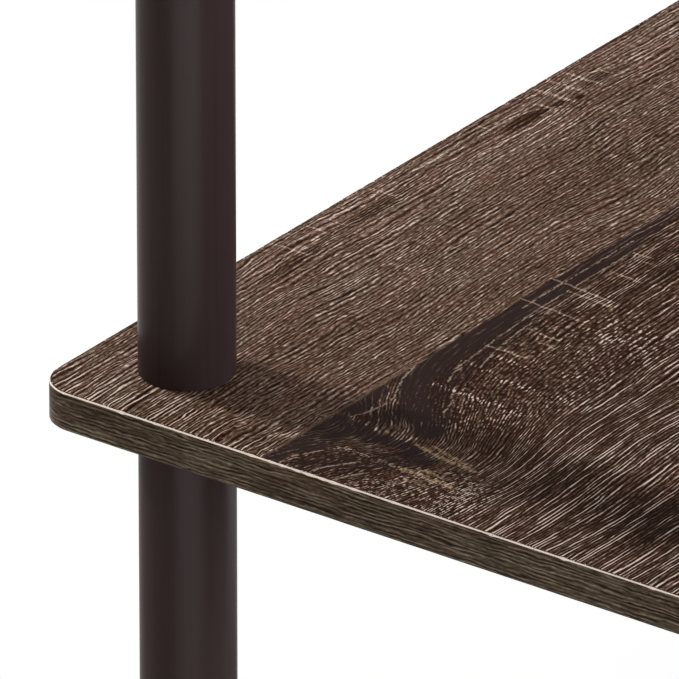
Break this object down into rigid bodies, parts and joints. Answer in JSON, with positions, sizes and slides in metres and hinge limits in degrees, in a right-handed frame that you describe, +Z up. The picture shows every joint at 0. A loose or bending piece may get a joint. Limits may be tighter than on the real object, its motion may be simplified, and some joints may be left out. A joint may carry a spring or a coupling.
{
  "type": "shelving unit",
  "caption": "Open shelving unit of round-cornered wood-look boards on dark round plastic tube posts that screw together through the boards.",
  "frame": {"origin": "on the floor, under the middle of the unit", "axes": "+X along the boards' long side to the right, +Y from the front to the back, +Z up"},
  "size_m": [0.6, 0.295, 0.7505],
  "materials": {
    "wood_foil": "satin printed foil, dark walnut grain along the boards with paler saw marks across it",
    "edge_band": "satin olive-brown strip with fine grain along its length and paler trimmed edges",
    "tube_plastic": "smooth satin, very dark brown",
    "connector_plastic": "moulded, satin, near black",
    "moulded_plastic": "moulded, fine spark texture, very dark brown"
  },
  "bodies": {
    "root": {"shelf_1_board": "wood_foil", "shelf_1_edge_band": "edge_band", "shelf_2_board": "wood_foil", "shelf_2_edge_band": "edge_band", "shelf_3_board": "wood_foil", "shelf_3_edge_band": "edge_band", "tube_1_front_left": "tube_plastic", "tube_1_front_right": "tube_plastic", "tube_1_back_left": "tube_plastic", "tube_1_back_right": "tube_plastic", "stud_plugs_1": "connector_plastic", "socket_plugs_1": "connector_plastic", "tube_2_front_left": "tube_plastic", "tube_2_front_right": "tube_plastic", "tube_2_back_left": "tube_plastic", "tube_2_back_right": "tube_plastic", "stud_plugs_2": "connector_plastic", "socket_plugs_2": "connector_plastic", "feet": "moulded_plastic", "caps": "moulded_plastic"}
  },
  "joints": []
}
